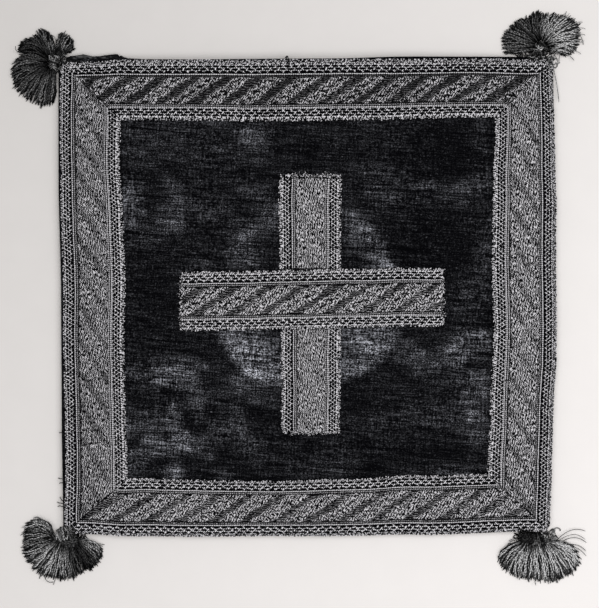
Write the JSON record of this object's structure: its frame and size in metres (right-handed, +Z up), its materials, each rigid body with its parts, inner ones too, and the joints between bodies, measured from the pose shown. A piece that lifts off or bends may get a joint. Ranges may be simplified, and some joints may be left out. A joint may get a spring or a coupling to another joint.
{
  "type": "liturgical burse",
  "caption": "Flat square pocket of two stiff cloth-covered panels with a woven galloon frame, a galloon cross on black velvet and a fanned thread tassel at each corner, lying on its back.",
  "frame": {"origin": "middle of the back panel's flat underside, on which the burse lies", "axes": "+Z up out of the velvet side, +Y towards the pocket's mouth, +X to the right as seen from above"},
  "size_m": [0.2977, 0.2982, 0.0149],
  "materials": {
    "back_cloth": "matt plain dark cloth",
    "velvet": "black cut velvet, worn and flattened in the middle",
    "galloon": "woven braid of dark silk and pale thread, soft sheen",
    "yarn": "twisted dark threads, soft sheen"
  },
  "bodies": {
    "root": {"back_panel": "back_cloth", "front_panel": "velvet", "galloon_bottom": "galloon", "galloon_right": "galloon", "galloon_top": "galloon", "galloon_left": "galloon", "cross_upright": "galloon", "cross_bar": "galloon", "tassel_top_left_head": "yarn", "tassel_top_left_fan": "yarn", "tassel_top_right_head": "yarn", "tassel_top_right_fan": "yarn", "tassel_bottom_left_head": "yarn", "tassel_bottom_left_fan": "yarn", "tassel_bottom_right_head": "yarn", "tassel_bottom_right_fan": "yarn"}
  },
  "joints": []
}
